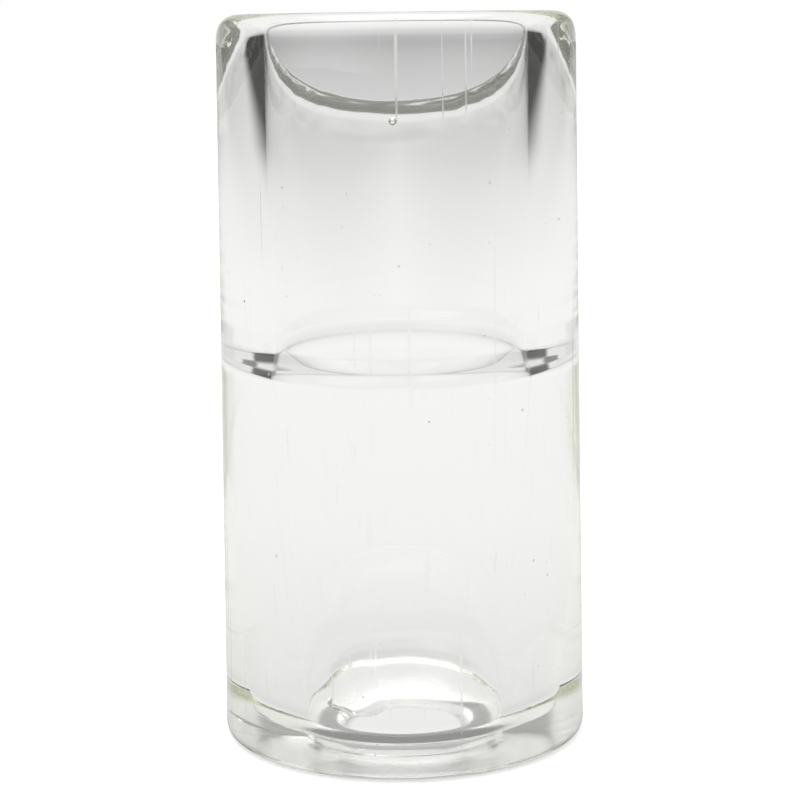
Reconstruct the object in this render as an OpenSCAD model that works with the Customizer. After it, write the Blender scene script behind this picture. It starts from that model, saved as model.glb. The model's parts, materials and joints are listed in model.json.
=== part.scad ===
// Moulded glass guitar slide: a thick clear tube that narrows inside towards its tip, with a soft
// ridge half-way down the bore. The wall at the open end is cut away on a slant at the back, so that
// the finger can bend at the knuckle.
//
// The slide stands on its tip. The origin is the centre of the tip face, +Z runs up the bore to the
// open end, and the cutaway is on the +Y side. All sizes are in millimetres.

/* [Outside] */
// Length from the tip face to the top of the rim
length = 57.4; // [50:0.1:70]
// Outside diameter at the open end
rim_d = 28; // [26:0.1:32]
// Outside diameter at the tip, a little larger because the mould has draft
tip_d = 29; // [26:0.1:32]
// Rounding of the rim's outer edge
rim_outer_round = 1.3; // [0.5:0.1:1.8]
// Rounding of the rim's inner edge
rim_inner_round = 1.2; // [0.5:0.1:1.6]
// Bevel where the outside wall meets the tip face
tip_bevel = 0.9; // [0.3:0.1:2]

/* [Bore] */
// Diameter of the straight upper bore that holds the finger
finger_bore_d = 20.6; // [18:0.1:22]
// Height where the upper bore starts to narrow towards the ridge
ridge_start_z = 41; // [36:0.5:46]
// Height of the narrowest place, the top of the soft ridge inside the bore
ridge_z = 31.3; // [28:0.1:35]
// Diameter at the ridge
ridge_d = 19.9; // [17:0.1:20.6]
// Height where the bore has widened again below the ridge
lower_bore_z = 29.9; // [24:0.1:34]
// Diameter just below the ridge
lower_bore_d = 20.6; // [17:0.1:22]
// Diameter at the foot of the lower bore, above the lip round the tip opening
foot_bore_d = 16.2; // [15:0.1:17]
// Height of the foot of the lower bore
foot_z = 1.6; // [1.2:0.1:4]
// Diameter of the opening through the tip, at the tip face
tip_hole_d = 10; // [8:0.1:13]
// Diameter of the opening at the upper edge of its lip
lip_d = 10.8; // [8:0.1:14]
// Height of the lip's upper edge
lip_z = 1; // [0.5:0.1:1.2]
// Rounding where the opening leaves the tip face
tip_hole_round = 0.2; // [0.1:0.1:0.4]

/* [Knuckle cutaway] */
// Depth of the cutaway below the rim, at the outside of the +Y wall
cut_depth = 8.4; // [5:0.1:12]
// Place along Y where the cutaway leaves the top of the rim
cut_start_y = -2.5; // [-5:0.1:2]
// Radius of the hollow curve that the cutaway follows
cut_r = 60; // [40:1:200]

/* [Hidden] */
glass = [0.86, 0.89, 0.84, 0.45];
// Steps in each rounded corner of the section
round_steps = 6;
finger_bore_r = finger_bore_d / 2;
// The cutaway's chord, from the top of the rim to the outside of the +Y wall
cut_run = rim_d / 2 - cut_start_y;
cut_chord = sqrt(cut_run * cut_run + cut_depth * cut_depth);
cut_centre_out = sqrt(cut_r * cut_r - cut_chord * cut_chord / 4);
cut_axis_y = cut_start_y + cut_run / 2 + cut_centre_out * cut_depth / cut_chord;
cut_axis_z = length - cut_depth / 2 + cut_centre_out * cut_run / cut_chord;

// Radius of the drafted outside wall at height z
function outside_r(z) = (tip_d + (rim_d - tip_d) * z / length) / 2;

// Points on an arc of radius r about (x, z), from angle a to angle b
function arc(x, z, r, a, b) =
    [for (i = [0 : round_steps]) let (t = a + (b - a) * i / round_steps) [x + r * cos(t), z + r * sin(t)]];

// The wall's section, as radius and height: from the tip opening out to the side, up to the rim
// and back down the bore
function wall_section() = concat(
    arc(tip_hole_d / 2 + tip_hole_round, tip_hole_round, tip_hole_round, 180, 270),
    [[outside_r(0) - tip_bevel, 0], [outside_r(tip_bevel), tip_bevel]],
    arc(rim_d / 2 - rim_outer_round, length - rim_outer_round, rim_outer_round, 0, 90),
    arc(finger_bore_r + rim_inner_round, length - rim_inner_round, rim_inner_round, 90, 180),
    [
        [finger_bore_r, ridge_start_z],
        [ridge_d / 2, ridge_z],
        [lower_bore_d / 2, lower_bore_z],
        [foot_bore_d / 2, foot_z],
        [lip_d / 2, lip_z]
    ]
);

module wall() {
    rotate_extrude($fn = 96) polygon(wall_section());
}

// A large round cutter along X, whose lowest side makes the slanted, slightly hollow cutaway
module knuckle_cutter() {
    translate([0, cut_axis_y, cut_axis_z]) rotate([0, 90, 0])
        cylinder(r = cut_r, h = 2 * tip_d, center = true, $fn = 360);
}

module glass_body() {
    color(glass) difference() {
        wall();
        knuckle_cutter();
    }
}

glass_body();
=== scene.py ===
# %% [markdown]
# # A moulded glass guitar slide
#
# A guitar slide is a short, heavy tube worn on one finger and slid along the strings. This one is
# clear glass, pressed in a mould: thick-walled, with a soft ridge half-way down the bore, a bore that
# narrows to a small opening at the tip, and a slanted cutaway at the open end so that the finger can
# bend at the knuckle.
#
# It is one single piece of glass, so there is one piece to model. The difficulty is all in its
# surface: clear glass shows both sides of every wall at once, so the inside needs as much care as
# the outside.

# %% Load the frame
import json
import math

import bpy
import numpy as np
from mathutils import Matrix, Vector, noise


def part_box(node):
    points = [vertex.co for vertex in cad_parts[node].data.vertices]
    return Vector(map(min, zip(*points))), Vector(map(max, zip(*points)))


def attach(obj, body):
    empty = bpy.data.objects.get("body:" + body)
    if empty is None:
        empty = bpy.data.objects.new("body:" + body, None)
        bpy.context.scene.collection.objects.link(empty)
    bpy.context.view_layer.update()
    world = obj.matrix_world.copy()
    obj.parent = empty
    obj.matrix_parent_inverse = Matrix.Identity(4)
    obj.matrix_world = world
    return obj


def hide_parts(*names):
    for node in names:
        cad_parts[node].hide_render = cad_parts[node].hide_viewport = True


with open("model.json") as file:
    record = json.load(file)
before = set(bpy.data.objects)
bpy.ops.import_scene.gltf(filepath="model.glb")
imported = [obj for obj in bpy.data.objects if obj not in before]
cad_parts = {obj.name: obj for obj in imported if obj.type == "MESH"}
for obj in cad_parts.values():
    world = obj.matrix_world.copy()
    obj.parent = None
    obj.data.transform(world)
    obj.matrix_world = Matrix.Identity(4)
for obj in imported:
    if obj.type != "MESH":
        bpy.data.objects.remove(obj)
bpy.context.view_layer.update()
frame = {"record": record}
MM = 0.001

# %% [markdown]
# ## Sizes
#
# The length and the finger bore come from the frame, so these can't drift away from the engineering
# model.
# The other sizes, the outside radii among them, belong to the shape of the wall's section, and are
# written once, in millimetres, the way a drawing would give them.

# %% Sizes of the glass, in millimetres
low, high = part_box("glass_body")
mounts = {mount["name"]: mount for mount in frame["record"]["mounts"]}
LENGTH = (high.z - low.z) / MM
TIP_RADIUS = 14.5
RIM_RADIUS = 14.0
FINGER_BORE = mounts["finger_bore"]["dims"]["r_mm"]
RIDGE_START, RIDGE_TOP, RIDGE_FOOT = 41.0, 31.3, 29.9
RIDGE_BORE, LOWER_BORE = 9.95, 10.3
FOOT_BORE, FOOT_HEIGHT = 8.1, 1.6
TIP_HOLE, LIP_RADIUS, LIP_HEIGHT = 5.0, 5.4, 1.0
RIM_OUTER_ROUND, RIM_INNER_ROUND = 1.3, 1.2
TIP_BEVEL = 0.9
print("length", round(LENGTH, 2), "mm, finger bore radius", FINGER_BORE, "mm")


# %% [markdown]
# ## Selecting by place
#
# Blender's operators act on what is selected. Working by hand, we would click; in a script, we pick
# vertices by where they are. These two helpers do the clicking.

# %% Helpers for selecting
def deselect_everything():
    """Leaves no object selected, because the loaded frame arrives selected."""
    for thing in bpy.context.selected_objects:
        thing.select_set(False)


def pick(where):
    """In edit mode, selects exactly the vertices whose place passes the test."""
    bpy.ops.mesh.select_all(action="DESELECT")
    bpy.ops.object.mode_set(mode="OBJECT")
    mesh = bpy.context.object.data
    for vertex in mesh.vertices:
        vertex.select = bool(where(vertex.co / MM))
    bpy.ops.object.mode_set(mode="EDIT")


def near(x, z):
    """A test for a point of the section at this radius and height."""
    return lambda place: abs(place.x - x) < 0.02 and abs(place.z - z) < 0.02


# %% [markdown]
# ## The wall's section
#
# A turned or pressed glass tube is the same all the way round, so its shape is one outline spun about
# an axis. We draw that outline with a single vertex, extruded from corner to corner: up the drafted
# outside, across the rim, down the bore over the ridge, and in to the lip round the tip opening.
# A tube primitive with its ends pulled about would also work, but the corners of a drawn outline can
# be rounded one at a time.

# %% Draw the outline of the wall
CORNERS = [
    (TIP_HOLE, 0.0),
    (TIP_RADIUS, 0.0),
    (RIM_RADIUS, LENGTH),
    (FINGER_BORE, LENGTH),
    (FINGER_BORE, RIDGE_START),
    (RIDGE_BORE, RIDGE_TOP),
    (LOWER_BORE, RIDGE_FOOT),
    (FOOT_BORE, FOOT_HEIGHT),
    (LIP_RADIUS, LIP_HEIGHT),
]

deselect_everything()
bpy.ops.mesh.primitive_plane_add(size=MM)
glass = bpy.context.object
glass.name = "glass_slide"
bpy.ops.object.mode_set(mode="EDIT")
bpy.ops.mesh.select_all(action="SELECT")
bpy.ops.mesh.merge(type="CENTER")
here = Vector((0, 0, 0))
for step, (radius, height) in enumerate(CORNERS):
    corner = Vector((radius, 0, height)) * MM
    move = {"value": corner - here}
    if step == 0:
        bpy.ops.transform.translate(**move)
    else:
        bpy.ops.mesh.extrude_vertices_move(TRANSFORM_OT_translate=move)
    here = corner
ends = [near(*CORNERS[0]), near(*CORNERS[-1])]
pick(lambda place: any(test(place) for test in ends))
bpy.ops.mesh.edge_face_add()
print("outline with", len(CORNERS), "corners")


# %% [markdown]
# ## Round the corners
#
# Pressed glass has no sharp corners: the rim is fire-polished, the bore swells in to the ridge and
# out again, and the tip's edges are worn by the mould. Bevelling a vertex of an outline cuts the
# corner, and with several segments it makes an arc.

# %% Round each corner by its own amount
ROUNDINGS = [
    ((TIP_RADIUS, 0.0), TIP_BEVEL, 8),
    ((RIM_RADIUS, LENGTH), RIM_OUTER_ROUND, 10),
    ((FINGER_BORE, LENGTH), RIM_INNER_ROUND, 8),
    ((FINGER_BORE, RIDGE_START), 6.0, 10),
    ((RIDGE_BORE, RIDGE_TOP), 0.72, 12),
    ((LOWER_BORE, RIDGE_FOOT), 0.72, 12),
    ((FOOT_BORE, FOOT_HEIGHT), 1.2, 12),
    ((LIP_RADIUS, LIP_HEIGHT), 0.6, 10),
    ((TIP_HOLE, 0.0), 0.2, 4),
]
for corner, amount, segments in ROUNDINGS:
    pick(near(*corner))
    bpy.ops.mesh.bevel(affect="VERTICES", offset=amount * MM, segments=segments, profile=0.5)
bpy.ops.object.mode_set(mode="OBJECT")
print("rounded outline with", len(glass.data.vertices), "points")


# %% [markdown]
# ## Even steps up the wall
#
# The long straight edges are cut into short ones, so that the wall has enough points up its height to
# bend into the cutaway later.

# %% Subdivide the long edges
LONGEST_STEP = 0.7


def pick_long_edges(mesh):
    """Selects the edges longer than the step, and says whether there were any."""
    for vertex in mesh.vertices:
        vertex.select = False
    found = False
    for edge in mesh.edges:
        first, second = (mesh.vertices[index].co for index in edge.vertices)
        edge.select = (first - second).length > LONGEST_STEP * MM
        found = found or edge.select
    return found


bpy.ops.object.mode_set(mode="EDIT")
bpy.ops.mesh.select_mode(type="EDGE")
bpy.ops.mesh.select_all(action="DESELECT")
bpy.ops.object.mode_set(mode="OBJECT")
while pick_long_edges(glass.data):
    bpy.ops.object.mode_set(mode="EDIT")
    bpy.ops.mesh.subdivide(number_cuts=1)
    bpy.ops.mesh.select_all(action="DESELECT")
    bpy.ops.object.mode_set(mode="OBJECT")
print("outline now has", len(glass.data.vertices), "points")

# %% [markdown]
# ## Spin the outline into a tube
#
# Spin sweeps the outline round the Z axis. Its last ring lands on the first, so the doubles are
# merged, and then the normals are made to point outwards, out of the glass.

# %% Spin
TURNS = 256
bpy.ops.object.mode_set(mode="EDIT")
bpy.ops.mesh.select_mode(type="VERT")
bpy.ops.mesh.select_all(action="SELECT")
bpy.ops.mesh.spin(steps=TURNS, angle=2 * math.pi, center=(0, 0, 0), axis=(0, 0, 1))
bpy.ops.mesh.select_all(action="SELECT")
bpy.ops.mesh.remove_doubles(threshold=0.002 * MM)
bpy.ops.mesh.normals_make_consistent(inside=False)
bpy.ops.object.mode_set(mode="OBJECT")
print("spun tube has", len(glass.data.vertices), "points and", len(glass.data.polygons), "faces")

# %% [markdown]
# ## The knuckle cutaway
#
# On the real slide the open end is pressed on a slant at the back, and then the whole rim is melted
# smooth. A boolean cut would leave a hard edge through hundreds of small faces that no bevel could
# round. So we do what the flame does: the rim is pushed down, and the wall below it gives way. Every
# point near the rim sinks by the depth of the cutaway at its place along Y, and the rim keeps its
# rounding all the way round.

# %% Sink the rim into the cutaway
CUT_START, CUT_DEPTH, CUT_RADIUS = -2.5, 8.4, 60.0
CUT_SOFTNESS, FULLY_CUT = 0.5, 2.5
WALL_HOLDS_BELOW, RIM_BAND = 31.0, 2.2
CUT_EDGE_OUTER, CUT_EDGE_INNER = 0.85, 0.6

run = RIM_RADIUS - CUT_START
chord = math.hypot(run, CUT_DEPTH)
out = math.sqrt(CUT_RADIUS**2 - chord**2 / 4)
cut_axis_y = CUT_START + run / 2 + out * CUT_DEPTH / chord
cut_axis_z = LENGTH - CUT_DEPTH / 2 + out * run / chord


def cut_drop(y):
    """How far the rim sinks at this place along Y: none in front, and a shallow hollow arc behind."""
    sunk = LENGTH - (cut_axis_z - np.sqrt(CUT_RADIUS**2 - (y - cut_axis_y) ** 2))
    return (sunk + np.sqrt(sunk**2 + CUT_SOFTNESS**2)) / 2


def smooth(value):
    """0 below 0, 1 above 1, and a soft S between."""
    value = np.clip(value, 0, 1)
    return value * value * (3 - 2 * value)


def outside_radius(z):
    """Radius of the drafted outside wall."""
    return TIP_RADIUS + (RIM_RADIUS - TIP_RADIUS) * z / LENGTH


def get_points(obj):
    """The object's vertices, as an array in millimetres."""
    flat = np.empty(len(obj.data.vertices) * 3)
    obj.data.vertices.foreach_get("co", flat)
    return flat.reshape(-1, 3) / MM


def set_points(obj, points):
    """Writes the vertices back."""
    obj.data.vertices.foreach_set("co", (points * MM).ravel())
    obj.data.update()


points = get_points(glass)
radius = np.hypot(points[:, 0], points[:, 1])
direction = points[:, :2] / radius[:, None]
height = points[:, 2].copy()

# The rim's two roundings get tighter where the cutaway is
cut_here = smooth(cut_drop(points[:, 1]) / FULLY_CUT)
corners = [
    (RIM_RADIUS, -1, RIM_OUTER_ROUND, CUT_EDGE_OUTER),
    (FINGER_BORE, 1, RIM_INNER_ROUND, CUT_EDGE_INNER),
]
for wall, inward, full, tight in corners:
    centre = wall + inward * full
    on_round = (height > LENGTH - full - 0.01) & ((radius - centre) * inward < 0.01)
    angle = np.arctan2(height - (LENGTH - full), (centre - radius) * inward)
    size = full + (tight - full) * cut_here
    radius = np.where(on_round, wall + inward * size - inward * size * np.cos(angle), radius)
    height = np.where(on_round, LENGTH - size + size * np.sin(angle), height)

gives_way = np.clip((height - WALL_HOLDS_BELOW) / (LENGTH - RIM_BAND - WALL_HOLDS_BELOW), 0, 1)
sunk_height = height - cut_drop(radius * direction[:, 1]) * gives_way
outer_skin = radius > (FINGER_BORE + RIM_RADIUS) / 2
draft = np.where(outer_skin, outside_radius(sunk_height) - outside_radius(height), 0) * gives_way
points[:, :2] = direction * (radius + draft)[:, None]
points[:, 2] = sunk_height
set_points(glass, points)
print("lowest point of the cutaway's outer edge:", round(LENGTH - CUT_DEPTH, 1), "mm")

# %% [markdown]
# ## The uneven foot
#
# Inside the tip, the glass was pushed in by a plunger and didn't settle level or round. At the back
# the foot of the bore lies lower and its edge is flattened, so that the opening is nearer a rounded
# rectangle than a circle, and there is a dip to one side. The same kind of vertex move does it. Only
# the points low in the bore move, and they sink by a share of their own height, so nothing passes
# through the flat tip face.

# %% Sink and flatten the foot at the back
INSIDE_RADIUS, FOOT_TOP, FOOT_FADE = 9.3, 4.4, 3.4
BACK_START, BACK_RUN, BACK_SINK = -3.0, 9.0, 0.6
FLATTEN_RUN, BACK_FLATTEN = 5.0, 0.30
DIP_SINK, DIP_AZIMUTH, DIP_WIDTH = 0.3, math.radians(-42), math.radians(17)
points = get_points(glass)
radius = np.hypot(points[:, 0], points[:, 1])
azimuth = np.arctan2(points[:, 0], points[:, 1])
low_in_bore = (radius < INSIDE_RADIUS) * smooth((FOOT_TOP - points[:, 2]) / FOOT_FADE)
back = smooth((points[:, 1] - BACK_START) / BACK_RUN)
dip = np.exp(-(((azimuth - DIP_AZIMUTH) / DIP_WIDTH) ** 4))
points[:, 2] *= 1 - low_in_bore * (BACK_SINK * back + DIP_SINK * dip)
flatten = (BACK_FLATTEN + DIP_SINK * dip) * smooth(points[:, 1] / FLATTEN_RUN)
points[:, 1] *= 1 - low_in_bore * flatten
set_points(glass, points)
print("foot height at the back, in mm:", round(FOOT_HEIGHT * (1 - BACK_SINK), 2))

# %% [markdown]
# ## Ripples
#
# Pressed glass keeps the faint waves of the mould. The tip face is rougher, and where the flame
# melted the cutaway's edge, flutes run along it. Light that passes four surfaces shows waves of a
# hundredth of a millimetre, so they are real moves of the surface along its normals, and not only a
# painted bump. Noise stretched along one axis gives waves that are longer that way.

# %% Ripple the surface
LONG_WAVE, LONG_RIPPLE, LONG_STRETCH = 9.0, 0.010, 0.35
SHORT_WAVE, TIP_RIPPLE = 1.6, 0.03
RIM_FLUTE, FLUTE_ALONG, FLUTE_ACROSS = 0.06, 0.3, 1.5
TIP_FROM, TIP_FADE = 0.5, 0.4
RIM_REACH, RIM_FADE, FLUTES_START = 3.0, 2.0, -4.0
points = get_points(glass)
normals = np.empty(len(glass.data.vertices) * 3)
glass.data.vertices.foreach_get("normal", normals)
normals = normals.reshape(-1, 3)
rim_height = LENGTH - cut_drop(points[:, 1])
at_tip = smooth((TIP_FROM - points[:, 2]) / TIP_FADE)
near_rim = smooth((points[:, 2] - rim_height + RIM_REACH) / RIM_FADE)
at_rim = near_rim * smooth((points[:, 1] - FLUTES_START) / -FLUTES_START)
ripple = np.empty(len(points))
for index, (x, y, z) in enumerate(points):
    long_wave = noise.noise(Vector((x, y, z * LONG_STRETCH)) / LONG_WAVE)
    short_wave = noise.noise(Vector((x, y, z)) / SHORT_WAVE)
    flute = noise.noise(Vector((x * FLUTE_ALONG, y * FLUTE_ACROSS, z * FLUTE_ACROSS)) / SHORT_WAVE)
    ripple[index] = LONG_RIPPLE * long_wave + TIP_RIPPLE * at_tip[index] * short_wave
    ripple[index] += RIM_FLUTE * at_rim[index] * flute
points += normals * ripple[:, None]
points[:, 2] = np.maximum(points[:, 2], 0)
set_points(glass, points)
print("largest ripple:", round(float(np.abs(ripple).max()), 3), "mm")

# %% [markdown]
# ## Seeds in the glass
#
# Glassmakers call small trapped bubbles seeds. A bubble is a hole in the glass, so it is modelled as
# one: a little closed ball inside the wall whose faces point into the hole. Painting a dot would not
# bend the light.

# %% Add the bubbles
SEEDS = [
    ((-0.3, -12.1, 49.5), 0.30),
    ((5.9, -10.6, 33.5), 0.10),
    ((-8.1, -9.2, 44.6), 0.09),
    ((3.0, 12.3, 22.0), 0.12),
    ((-11.9, 3.0, 37.0), 0.10),
    ((12.4, 1.5, 12.0), 0.13),
]
seeds = []
for place, size in SEEDS:
    deselect_everything()
    bpy.ops.mesh.primitive_ico_sphere_add(subdivisions=4, radius=size * MM, location=Vector(place) * MM)
    seed = bpy.context.object
    bpy.ops.object.transform_apply(location=True)
    bpy.ops.object.mode_set(mode="EDIT")
    bpy.ops.mesh.select_all(action="SELECT")
    bpy.ops.mesh.flip_normals()
    bpy.ops.object.mode_set(mode="OBJECT")
    seeds.append(seed)
deselect_everything()
for seed in seeds:
    seed.select_set(True)
glass.select_set(True)
bpy.context.view_layer.objects.active = glass
bpy.ops.object.join()
print("bubbles:", len(SEEDS), "- faces in all:", len(glass.data.polygons))

# %% [markdown]
# ## Smooth shading
#
# Glass bends light by its normals, so the facets must be shaded smooth. A mould leaves no sharp edge
# on this piece, so no edge stays hard.

# %% Shade smooth
deselect_everything()
glass.select_set(True)
bpy.context.view_layer.objects.active = glass
bpy.ops.object.shade_smooth()

# %% [markdown]
# ## Building with shader nodes
#
# A material is a graph of small nodes. By hand we would drag each one in and wire it up; these
# helpers do that for the few kinds of node that the glass, the floor and the room all use.

# %% Helpers for shader nodes
def put(tree, socket, value):
    """Feeds a socket with another node's output or with a plain number."""
    if isinstance(value, bpy.types.NodeSocket):
        tree.links.new(value, socket)
    else:
        socket.default_value = value


def calculate(tree, operation, first, second=None):
    """A maths node."""
    made = tree.nodes.new("ShaderNodeMath")
    made.operation = operation
    put(tree, made.inputs[0], first)
    if second is not None:
        put(tree, made.inputs[1], second)
    return made.outputs["Value"]


def blend_step(tree, value, start, end):
    """A soft step from 0 at start to 1 at end, which may run downwards."""
    made = tree.nodes.new("ShaderNodeMapRange")
    made.interpolation_type = "SMOOTHSTEP"
    made.inputs["From Min"].default_value = start
    made.inputs["From Max"].default_value = end
    put(tree, made.inputs["Value"], value)
    return made.outputs["Result"]


def mix_value(tree, factor, first, second):
    """first where the factor is 0, second where it is 1."""
    made = tree.nodes.new("ShaderNodeMix")
    made.data_type = "FLOAT"
    put(tree, made.inputs["Factor"], factor)
    put(tree, made.inputs["A"], first)
    put(tree, made.inputs["B"], second)
    return made.outputs["Result"]


# %% [markdown]
# ## The glass
#
# Soda-lime glass is clear in a thin wall and faintly yellow-green through a thick one, because iron
# in the sand absorbs a little blue and red. So the colour isn't painted on: the surface is
# colourless, and the volume inside absorbs light along its way.

# %% Glass material
GLASS_IOR = 1.5
ABSORPTION_COLOUR = (0.80, 0.93, 0.25, 1)
ABSORPTION_PER_METRE = 2.4

glass_look = bpy.data.materials.new("clear_moulded_glass")
glass_look.use_nodes = True
tree = glass_look.node_tree
surface = tree.nodes["Principled BSDF"]
surface.inputs["Base Color"].default_value = (1, 1, 1, 1)
surface.inputs["IOR"].default_value = GLASS_IOR
surface.inputs["Transmission Weight"].default_value = 1.0
volume = tree.nodes.new("ShaderNodeVolumeAbsorption")
volume.inputs["Density"].default_value = ABSORPTION_PER_METRE
volume.inputs["Color"].default_value = ABSORPTION_COLOUR
tree.links.new(volume.outputs["Volume"], tree.nodes["Material Output"].inputs["Volume"])

# %% [markdown]
# ## Ground tip, dust and scratches
#
# The tip face is ground flat, so it is lightly frosted. Everywhere else the glass is polished, but a
# used slide has hair-thin scratches along its length and a few specks of dust. All three scatter the
# light, so all three are roughness. The patterns come from the object's own coordinates: noise
# stretched along the bore for the scratches, and a few cells of a Voronoi texture for the specks.

# %% Roughness from place
TIP_FROST, FROST_FROM, FROST_FULL = 0.22, 0.08, 0.02
SCRATCH_ROUGHNESS, SCRATCH_WIDTH, SCRATCH_LENGTH = 0.25, 0.4, 40.0
SCRATCH_FROM, SCRATCH_TO = 0.70, 0.73
SPECK_ROUGHNESS, SPECK_SPACING, SPECK_SHARE = 0.9, 2.0, 0.16
SPECK_EDGE, SPECK_CORE = 0.078, 0.042

place = tree.nodes.new("ShaderNodeTexCoord").outputs["Object"]
split = tree.nodes.new("ShaderNodeSeparateXYZ")
tree.links.new(place, split.inputs["Vector"])
frost = blend_step(tree, split.outputs["Z"], FROST_FROM * MM, FROST_FULL * MM)

stretch = tree.nodes.new("ShaderNodeMapping")
across, along = 1 / SCRATCH_WIDTH / MM, 1 / SCRATCH_LENGTH / MM
stretch.inputs["Scale"].default_value = (across, across, along)
tree.links.new(place, stretch.inputs["Vector"])
lines = tree.nodes.new("ShaderNodeTexNoise")
lines.inputs["Scale"].default_value = 1.0
lines.inputs["Detail"].default_value = 1.0
tree.links.new(stretch.outputs["Vector"], lines.inputs["Vector"])
scratched = blend_step(tree, lines.outputs["Fac"], SCRATCH_FROM, SCRATCH_TO)

specks = tree.nodes.new("ShaderNodeTexVoronoi")
specks.inputs["Scale"].default_value = 1 / SPECK_SPACING / MM
tree.links.new(place, specks.inputs["Vector"])
chance = tree.nodes.new("ShaderNodeSeparateColor")
tree.links.new(specks.outputs["Color"], chance.inputs["Color"])
dusty = calculate(
    tree,
    "MULTIPLY",
    blend_step(tree, specks.outputs["Distance"], SPECK_EDGE, SPECK_CORE),
    calculate(tree, "LESS_THAN", chance.outputs["Red"], SPECK_SHARE),
)
rough = mix_value(tree, scratched, 0.0, SCRATCH_ROUGHNESS)
rough = mix_value(tree, dusty, rough, SPECK_ROUGHNESS)
rough = mix_value(tree, frost, rough, TIP_FROST)
tree.links.new(rough, surface.inputs["Roughness"])
glass.data.materials.append(glass_look)
print("glass: index", GLASS_IOR, "- roughness of the tip face", TIP_FROST)

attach(glass, "root")
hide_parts("glass_body")

# %% [markdown]
# ## The floor
#
# A plain pale table top. The camera sees white paint. The glass bends light so much that its walls
# show the whole table at once, so what it sees is painted as a glow: dim in the shadow right under
# the tip, brightest a hand's breadth away, dimmer farther off, and dark to both sides, where the
# walls pick it up as dark lines.

# %% Floor
FLOOR_HALF = 6.0
deselect_everything()
bpy.ops.mesh.primitive_plane_add(size=2 * FLOOR_HALF, location=(0, 0, -0.02 * MM))
bpy.ops.object.transform_apply()
floor = bpy.context.object
floor.name = "studio_floor"

# %% Table top, with its brightness at each distance in metres
TABLE_GLOW = [
    (0.0045, 0.85),
    (0.0060, 0.25),
    (0.0130, 0.25),
    (0.0165, 0.78),
    (0.05, 0.90),
    (0.2, 0.93),
    (0.5, 0.83),
    (1.2, 0.70),
    (2.2, 0.60),
    (5.0, 0.42),
]
NEAREST, FARTHEST = TABLE_GLOW[0][0], TABLE_GLOW[-1][0]
TABLE_SHADE, SHADE_SPREAD, SHADE_START, SHADE_END = 0.05, 0.57, 0.2, 0.62

floor_look = bpy.data.materials.new("pale_table")
floor_look.use_nodes = True
tree = floor_look.node_tree
paint = tree.nodes["Principled BSDF"]
paint.inputs["Base Color"].default_value = (0.95, 0.95, 0.95, 1)
paint.inputs["Roughness"].default_value = 0.6
paint.inputs["Specular IOR Level"].default_value = 0.2
paint.inputs["Emission Color"].default_value = (1, 1, 1, 1)
paint.inputs["Emission Strength"].default_value = 0.3
where = tree.nodes.new("ShaderNodeTexCoord")
split = tree.nodes.new("ShaderNodeSeparateXYZ")
tree.links.new(where.outputs["Object"], split.inputs["Vector"])
distance = tree.nodes.new("ShaderNodeVectorMath")
distance.operation = "LENGTH"
tree.links.new(where.outputs["Object"], distance.inputs[0])
spans = math.log10(FARTHEST / NEAREST)
times_nearest = calculate(tree, "DIVIDE", distance.outputs["Value"], NEAREST)
steps_out = calculate(tree, "LOGARITHM", times_nearest, 10.0)
ramp = tree.nodes.new("ShaderNodeValToRGB")
put(tree, ramp.inputs["Fac"], calculate(tree, "DIVIDE", steps_out, spans))
while len(ramp.color_ramp.elements) < len(TABLE_GLOW):
    ramp.color_ramp.elements.new(0.5)
for stop, (metres, brightness) in zip(ramp.color_ramp.elements, TABLE_GLOW):
    stop.position = math.log10(metres / NEAREST) / spans
    stop.color = (brightness, brightness, brightness, 1)
spread = calculate(tree, "MULTIPLY", split.outputs["Y"], SHADE_SPREAD)
sideways = calculate(tree, "SUBTRACT", calculate(tree, "ABSOLUTE", split.outputs["X"]), spread)
shade = blend_step(tree, sideways, SHADE_START, SHADE_END)
glow = tree.nodes.new("ShaderNodeEmission")
put(tree, glow.inputs["Color"], mix_value(tree, shade, ramp.outputs["Color"], TABLE_SHADE))
path = tree.nodes.new("ShaderNodeLightPath")
seen = tree.nodes.new("ShaderNodeMixShader")
tree.links.new(path.outputs["Is Camera Ray"], seen.inputs["Fac"])
tree.links.new(glow.outputs["Emission"], seen.inputs[1])
tree.links.new(paint.outputs["BSDF"], seen.inputs[2])
tree.links.new(seen.outputs["Shader"], tree.nodes["Material Output"].inputs["Surface"])
floor.data.materials.append(floor_look)
print("table glow from", NEAREST, "to", FARTHEST, "m in", len(TABLE_GLOW), "steps")

# %% [markdown]
# ## The studio round it
#
# Clear glass has no look of its own: it shows the room. The room here is a pale sweep behind, soft
# light from above, a brighter window to the left of the camera, and two dark flags beside the sweep,
# which draw the dark lines that give a glass edge its shape. They are painted on the world, by
# direction, so no stand or card gets in the view. Azimuth 0 is straight behind the glass, and the
# camera itself sees plain white.

# %% World
world = bpy.data.worlds.new("studio")
bpy.context.scene.world = world
world.use_nodes = True
tree = world.node_tree
background = tree.nodes["Background"]
where = tree.nodes.new("ShaderNodeTexCoord")
split = tree.nodes.new("ShaderNodeSeparateXYZ")
tree.links.new(where.outputs["Generated"], split.inputs["Vector"])

SWEEP, OVERHEAD, FLAG, FLAG_TOP, WINDOW, DARK_SIDE = 0.78, 0.85, 0.08, 0.18, 1.2, 0.3


def between(angle, start, end):
    """A soft step between two angles, in degrees."""
    return blend_step(tree, angle, math.radians(start), math.radians(end))


def card(first, second, shade):
    """The room's brightness, with another one where both steps are 1."""
    return mix_value(tree, calculate(tree, "MULTIPLY", first, second), level, shade)


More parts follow.
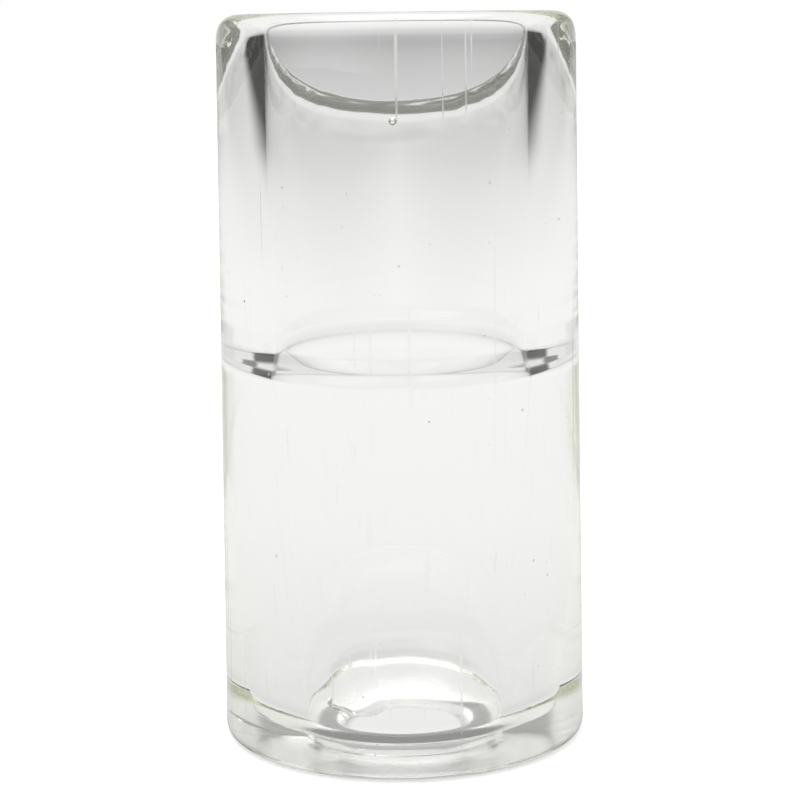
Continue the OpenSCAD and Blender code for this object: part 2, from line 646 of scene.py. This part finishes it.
azimuth = calculate(tree, "ARCTAN2", split.outputs["X"], split.outputs["Y"])
side = calculate(tree, "ABSOLUTE", azimuth)
rise = calculate(tree, "ARCSINE", split.outputs["Z"])
level = mix_value(tree, between(rise, 10, 40), SWEEP, OVERHEAD)
level = card(between(side, 36, 43), between(rise, 16, 7), FLAG)
lean_in = calculate(tree, "MULTIPLY", between(side, 18, 23), between(side, 46, 39))
lean_height = calculate(tree, "MULTIPLY", between(rise, 8, 11), between(rise, 28, 20))
level = card(lean_in, lean_height, FLAG_TOP)
level = card(between(azimuth, -100, -130), between(azimuth, -180, -140), WINDOW)
dark_side = calculate(tree, "MULTIPLY", between(azimuth, 100, 130), between(azimuth, 180, 140))
level = card(dark_side, between(rise, 40, 20), DARK_SIDE)
path = tree.nodes.new("ShaderNodeLightPath")
level = mix_value(tree, path.outputs["Is Camera Ray"], level, 1.0)
tree.links.new(level, background.inputs["Color"])
print("room: sweep", SWEEP, "overhead", OVERHEAD, "flags", FLAG, "window", WINDOW)

# %% [markdown]
# ## Lamps
#
# One large soft lamp overhead lights the table and puts the broad white highlights on the rim.

# %% Lamps
bpy.ops.object.light_add(type="AREA", location=(0, 0.05, 0.9))
lamp = bpy.context.object
lamp.name = "overhead_softbox"
lamp.data.shape = "RECTANGLE"
lamp.data.size, lamp.data.size_y = 0.9, 0.7
lamp.data.energy = 3.5
print("lamp", lamp.data.size, "by", lamp.data.size_y, "m,", lamp.data.energy, "W")

# %% [markdown]
# ## The camera
#
# A long lens close to table height, looking down a little, with the slide leaning slightly in the
# frame. Light crosses thick glass many times before it gets out, so it is given many bounces: with
# too few, the corners of the rim turn black.

# %% Camera
CAMERA_DISTANCE, CAMERA_HEIGHT = 172, 56.9
CAMERA_DOWN, CAMERA_ROLL = 8.48, 0.78
LENS, SHIFT_UP = 98.24, -0.07
bpy.ops.object.camera_add(location=Vector((0, -CAMERA_DISTANCE, CAMERA_HEIGHT)) * MM)
camera = bpy.context.object
camera.rotation_mode = "XYZ"
roll = Matrix.Rotation(math.radians(-CAMERA_ROLL), 4, "Z")
tilt = Matrix.Rotation(math.radians(90 - CAMERA_DOWN), 4, "X")
camera.rotation_euler = (tilt @ roll).to_euler()
camera.data.lens, camera.data.shift_y = LENS, SHIFT_UP
camera.data.clip_start = 0.01
bpy.context.scene.camera = camera
bpy.context.scene.view_settings.view_transform = "Standard"
MOST_BOUNCES = 48
bpy.context.scene.cycles.max_bounces = MOST_BOUNCES
bpy.context.scene.cycles.transmission_bounces = MOST_BOUNCES
bpy.context.scene.cycles.glossy_bounces = MOST_BOUNCES
print("lens", LENS, "mm, bounces", MOST_BOUNCES)
